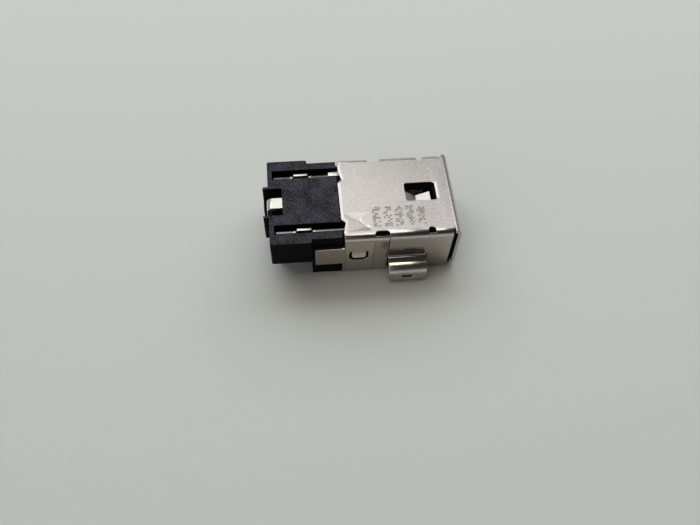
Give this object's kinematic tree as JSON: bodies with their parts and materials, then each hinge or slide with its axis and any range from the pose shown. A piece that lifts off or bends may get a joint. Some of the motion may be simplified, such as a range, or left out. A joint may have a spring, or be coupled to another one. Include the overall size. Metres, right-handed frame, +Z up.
{
  "type": "dc barrel jack",
  "caption": "Board-mount barrel jack: black moulded housing, folded sheet shell with spring tongue and board legs, centre pin with bent terminal, and sprung sleeve contacts.",
  "frame": {"origin": "Centre of the bounding box in plan, on the plane of the housing's underside, which also clears the tips of the legs and solder tails.", "axes": "+X runs along the plug's axis and out of the socket's mouth, +Y is across towards the contact with the raised tab, +Z is up through the shell's top plate."},
  "size_m": [0.0136, 0.0094, 0.0042],
  "materials": {
    "housing_plastic": "fine grained moulded black",
    "shell_sheet": "satin nickel plate with a faint rolled grain",
    "pin_plating": "nickel plated, turned",
    "terminal_tin": "bright tin plate",
    "contact_tin": "bright tin plate over bronze"
  },
  "bodies": {
    "root": {"insulator_housing": "housing_plastic", "shield_shell": "shell_sheet", "center_pin": "pin_plating", "pin_terminal": "terminal_tin", "near_sleeve_contact": "contact_tin", "far_sleeve_contact": "contact_tin"}
  },
  "joints": []
}
